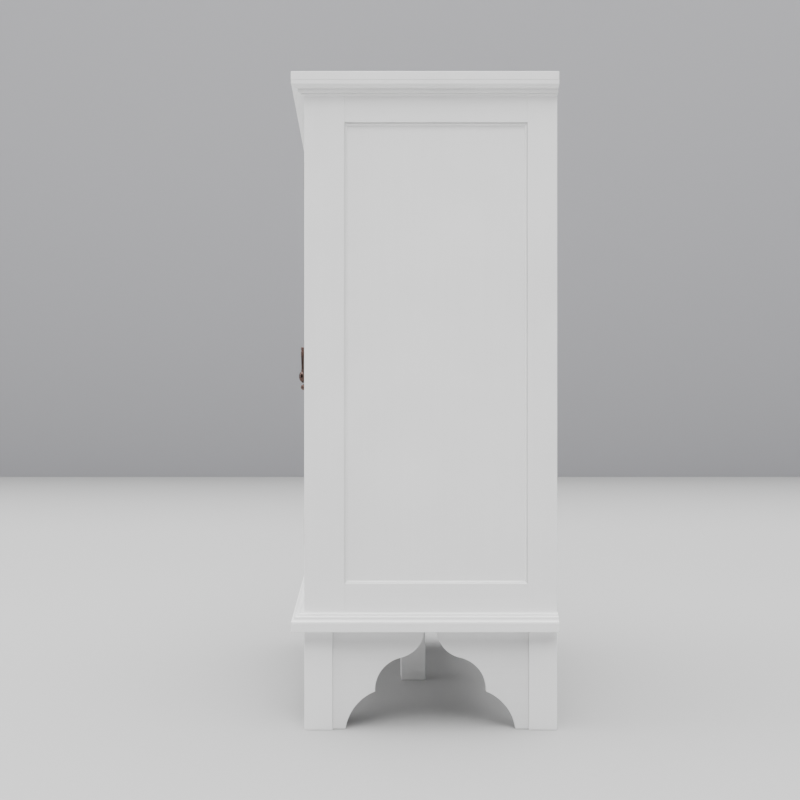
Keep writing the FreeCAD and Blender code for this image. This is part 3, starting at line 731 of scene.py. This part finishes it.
def inset(points, distance):
    """A closed run of points, anticlockwise, moved in by a distance square to its edges."""
    moved = []
    for i, point in enumerate(points):
        here, before, after = Vector(point), Vector(points[i - 1]), Vector(points[(i + 1) % len(points)])
        arriving, leaving = (here - before).normalized(), (after - here).normalized()
        inward = Vector((-arriving.y - leaving.y, arriving.x + leaving.x)).normalized()
        moved.append(tuple(here + inward * distance / Vector((-arriving.y, arriving.x)).dot(inward)))
    return moved


def back_plate(side):
    """The plate's edge is rolled over, and inside its rim the field is struck a little lower."""
    node = "pull_plate_" + side
    low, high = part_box("pull_plate_" + side)
    middle = (low.x + high.x) / 2
    wide = (high.x - low.x) / 2
    slim, end = 0.6 * wide, 17 * MM
    shape = outline(
        (wide, low.z + end, -0.18), (slim, low.z + 2 * end, 0.18), (slim, high.z - 2 * end),
        (wide, high.z - end, 0.18), (0, high.z, -0.18), (-wide, high.z - end, -0.18),
        (-slim, high.z - 2 * end, 0.18), (-slim, low.z + 2 * end), (-wide, low.z + end, 0.18),
        (0, low.z, -0.18),
    )
    struck = mm(
        (0, 0), (0, 1.4), (0.2, 2.1), (0.6, 2.7), (1.2, 3.0), (1.9, 3.0), (2.4, 2.75), (2.7, 2.4),
        (3.1, 2.3),
    )
    mesh = bmesh.new()
    rings = []
    for inwards, height in struck:
        rings.append([(middle + u, high.y - height, v) for u, v in inset(shape, inwards)])
    skin(mesh, rings)
    bmesh.ops.recalc_face_normals(mesh, faces=mesh.faces)
    settle(mesh, node + "_stamped", copper, "door_" + side, [node])


BALL, KNOB = 5.0 * MM, 8.2 * MM  # their radii
STEM = 3.2 * MM
TONGUE = 3.4 * MM  # its round end's radius
FACETS = 48  # round a nut, and round the tongue
around = [2 * math.pi * i / FACETS for i in range(FACETS)]


def collared_stem(standoff, radius):
    """A turned collar that seats on the plate, a cove, and a stem up to a ball."""
    collar = outline(*mm(
        (0, 2), (5.7, 2), (6.5, 2.8, 0.2), (6.5, 4.2), (5.7, 5.0, 0.2), (5.0, 5.2), (5.0, 5.9),
        (3.4, 7.0, -0.2), (3.0, 9.5, -0.02),
    ))
    return collar + ball_points(radius, standoff, STEM)


def add_nut_and_thread(mesh, x, back, z):
    """A chamfered hexagon nut, and the spigot's cut thread standing past it."""
    flat, height = 3.5 * MM, 3.2 * MM
    crown = 0.97 * flat
    chamfer = 0.577  # its slope, 30 degrees
    pitch = 0.65
    reach = [flat / math.cos(turn % (math.pi / 3) - math.pi / 6) for turn in around]
    edge = [height - chamfer * (radius - crown) for radius in reach]

    def ring(radii, heights):
        return [
            (x + radius * math.cos(turn), back + up, z + radius * math.sin(turn))
            for radius, up, turn in zip(radii, heights, around)
        ]

    skin(mesh, [
        ring(reach, [0] * FACETS), ring(reach, edge), ring([crown] * FACETS, [height] * FACETS),
    ])
    thread = [(0, -1), (1.7, -1)]
    for i in range(7):
        thread += [(1.7, 0.1 + pitch * i), (2.0, 0.425 + pitch * i)]
    thread += [(1.5, 4.8), (1.3, 5.0), (0, 5.0)]
    spun(mesh, mm(*thread), lambda a, b, along: (x + a, back + along, z + b), 32)


def posts(side):
    """Two spigots on collars, one with the slotted ball and its pin, one with the knob, and their nuts."""
    node = "pull_posts_" + side
    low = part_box("pull_posts_" + side)[0]
    face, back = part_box("door_meeting_stile_" + side)[0].y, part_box("door_meeting_stile_" + side)[1].y
    pivot = drop_pivot(side)
    knob = Vector((pivot.x, low.y + KNOB, low.z + KNOB))

    def from_face(centre):
        return lambda a, b, along: (centre.x + a, face - along, centre.z + b)

    upper = bmesh.new()
    spun(upper, collared_stem(face - pivot.y, BALL), from_face(pivot))
    slot = bmesh.new()
    half, reach = 1.6 * MM, 4.2 * MM  # the slot's half width, and how far it goes past the pin
    bmesh.ops.create_cube(slot, size=1)
    for corner in slot.verts:
        corner.co = (
            pivot.x + 2 * half * corner.co.x,
            pivot.y + (reach if corner.co.y > 0 else -2 * BALL),
            pivot.z + (reach if corner.co.z > 0 else -2 * BALL),
        )
    mesh = cut(upper, slot)
    pin = mm((0, -4.95), (0.7, -4.92), (1.2, -4.7), (1.2, 4.7), (0.7, 4.92), (0, 4.95))
    spun(mesh, pin, lambda a, b, along: (pivot.x + along, pivot.y + a, pivot.z + b), 32)
    spun(mesh, collared_stem(face - knob.y, KNOB), from_face(knob))
    for z in (pivot.z, knob.z):
        add_nut_and_thread(mesh, pivot.x, back, z)
    bmesh.ops.recalc_face_normals(mesh, faces=mesh.faces)
    settle(mesh, node + "_turned", copper, "door_" + side, [node])


def drop_pivot(side):
    """The middle of the drop's cross pin."""
    low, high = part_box("pull_drop_" + side)
    return Vector(((low.x + high.x) / 2, (low.y + high.y) / 2, high.z - TONGUE))


def drop(side):
    """The drop is turned from one rod. Its flat tongue is filed to fit the slot and bored for the pin."""
    node = "pull_drop_" + side
    pivot = drop_pivot(side)
    mesh = bmesh.new()
    turned = outline(*mm(
        (0, -5.8), (4.4, -10.2, 0.2071), (4.4, -18), (4.15, -18.25), (4.15, -18.6), (4.35, -18.85),
        (4.3, -19.5), (3.3, -56.4, -0.006), (3.3, -58.4), (4.0, -58.9, 0.15), (4.3, -60.15, 0.1),
        (4.0, -61.4, 0.1), (3.3, -61.9, 0.15), (3.3, -62.4), (9.6, -75, 0.14), (1.2, -92.9, 0.17),
        (0, -93.9, 0.15),
    ))
    spun(mesh, turned, lambda a, b, along: (pivot.x + a, pivot.y + b, pivot.z + along))
    bore, half = [1.25 * MM] * FACETS, 1.4 * MM  # the hole's radius, and half the tongue's thickness
    root = 10.2 * MM  # from the pin down into the shoulder
    filed = 0.25 * MM

    def flat_ring(radii, x):
        ring = []
        for radius, turn in zip(radii, around):
            across, up = radius * math.cos(turn), radius * math.sin(turn)
            ring.append(mesh.verts.new((pivot.x + x, pivot.y + across, pivot.z + up)))
        return ring

    edge = []
    for turn in around:
        if math.sin(turn) >= 0:
            edge.append(TONGUE)
        else:
            edge.append(min(TONGUE / max(abs(math.cos(turn)), 0.01), root / -math.sin(turn)))
    soft = [radius - filed for radius in edge]
    loops = (
        (bore, -half), (soft, -half), (edge, filed - half),
        (edge, half - filed), (soft, half), (bore, half),
    )
    made = [flat_ring(radii, x) for radii, x in loops]
    for ring, after in zip(made, made[1:] + made[:1]):
        for i in range(FACETS):
            j = (i + 1) % FACETS
            mesh.faces.new((ring[i], ring[j], after[j], after[i]))
    bmesh.ops.recalc_face_normals(mesh, faces=mesh.faces)
    settle(mesh, node + "_turned", copper, "drop_" + side, [node])


for side in ("left", "right"):
    back_plate(side)
    posts(side)
    drop(side)


# ---- Studio
# A pale floor that runs back to a grey wall under a glowing ceiling. One soft box hangs over the camera and
# one faces the doors. The camera is square to the right side. Floor and wall carry painted shade: the floor
# darkens towards the wall and the wall towards its foot, where less of the light reaches.

def studio_surface(name, axis, run, foot, head, roughness):
    """Painted board, its colour going evenly from foot to head along an axis over a run: painted shade."""
    material, tree = new_material(name)
    speckle = 60  # to a metre
    place = add_node(tree, "TexCoord")
    where = add_node(tree, "SeparateXYZ", {"Vector": (place, "Object")})
    rise = add_node(tree, "MapRange", {"Value": (where, axis), "From Min": run[0], "From Max": run[1]})
    shade = add_node(tree, "MixRGB", {
        "Fac": (rise, "Result"), "Color1": linear(foot), "Color2": linear(head),
    })
    grain = add_node(tree, "TexNoise", {"Vector": (place, "Object"), "Scale": speckle, "Detail": 3.0})
    bump = add_node(tree, "Bump", {"Height": (grain, "Fac"), "Strength": 0.1, "Distance": 0.2 * MM})
    shader = add_node(tree, "BsdfPrincipled", {
        "Base Color": (shade, "Color"), "Roughness": roughness, "Normal": (bump, "Normal"),
    })
    add_node(tree, "OutputMaterial", {"Surface": (shader, "BSDF")})
    return material


def slab(name, corners, material):
    mesh = bpy.data.meshes.new(name)
    mesh.from_pydata(corners, [], [(0, 1, 2, 3)])
    mesh.materials.append(material)
    surface = bpy.data.objects.new(name, mesh)
    bpy.context.scene.collection.objects.link(surface)


WALL_X = -9.55
WALL_HEIGHT = 5.2
HALF_WIDTH = 14
NEAR_X = 9
near = [(NEAR_X, -HALF_WIDTH, 0), (NEAR_X, HALF_WIDTH, 0)]
far = [(WALL_X, HALF_WIDTH, 0), (WALL_X, -HALF_WIDTH, 0)]
top = [(WALL_X, -HALF_WIDTH, WALL_HEIGHT), (WALL_X, HALF_WIDTH, WALL_HEIGHT)]
# Painted shade: the floor darkens towards the wall, and the wall towards its foot.
slab("floor", near + far, studio_surface("matt_floor_painted_darker_at_wall", "X", (WALL_X, -4.0), "#969696", "#AAAAAA", 0.75))
slab("wall", far + top, studio_surface("matt_wall_painted_darker_at_foot", "Z", (0, WALL_HEIGHT), "#A4A4A8", "#C0C0C4", 0.9))

side_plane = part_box("post_front_right")[1].x
CAMERA_REACH, CAMERA_Y, CAMERA_HEIGHT = 3.039, -0.1656, 0.765
camera = bpy.data.cameras.new("camera")
camera.sensor_width = 36
camera.lens = 58.86
camera.shift_x = 0.0598
camera.shift_y = 0.0012
viewpoint = bpy.data.objects.new("camera", camera)
viewpoint.location = (side_plane + CAMERA_REACH, CAMERA_Y, CAMERA_HEIGHT)
viewpoint.rotation_euler = (math.pi / 2, 0, math.pi / 2)
bpy.context.scene.collection.objects.link(viewpoint)
bpy.context.scene.camera = viewpoint


def soft_box(name, place, aim, size, power):
    light = bpy.data.lights.new(name, "AREA")
    light.shape = "SQUARE"
    light.size = size
    light.energy = power
    lamp = bpy.data.objects.new(name, light)
    lamp.location = place
    lamp.rotation_euler = (Vector(aim) - Vector(place)).to_track_quat("-Z", "Y").to_euler()
    bpy.context.scene.collection.objects.link(lamp)


soft_box("high_over_the_camera", (4.5, -0.1, 5.0), (0, 0, 0.6), 3.0, 179)
soft_box("facing_the_doors", (0.5, -5.5, 3.0), (0, 0, 0.8), 3.5, 158)

world = bpy.data.worlds.new("studio")
world.use_nodes = True
bpy.context.scene.world = world
room = world.node_tree
room.nodes.clear()
direction = add_node(room, "TexCoord")
height = add_node(room, "SeparateXYZ", {"Vector": (direction, "Generated")})
ceiling = add_node(room, "MapRange", {
    "Value": (height, "Z"), "From Min": 0.66, "From Max": 0.74, "To Max": 6.7,
}, interpolation_type="SMOOTHSTEP")
horizon = add_node(room, "MapRange", {
    "Value": (height, "Z"), "From Min": 0.06, "From Max": 0.14, "To Min": 0.6, "To Max": 0.0,
}, interpolation_type="SMOOTHSTEP")
glow = add_node(room, "Math", {0: (ceiling, "Result"), 1: (horizon, "Result")}, operation="ADD")
seen = add_node(room, "LightPath")
plain = add_node(room, "Mix", {0: (seen, "Is Camera Ray"), 2: (glow, "Value"), 3: 0.5})
background = add_node(room, "Background", {"Strength": (plain, "Result")})
add_node(room, "OutputWorld", {"Surface": (background, "Background")})
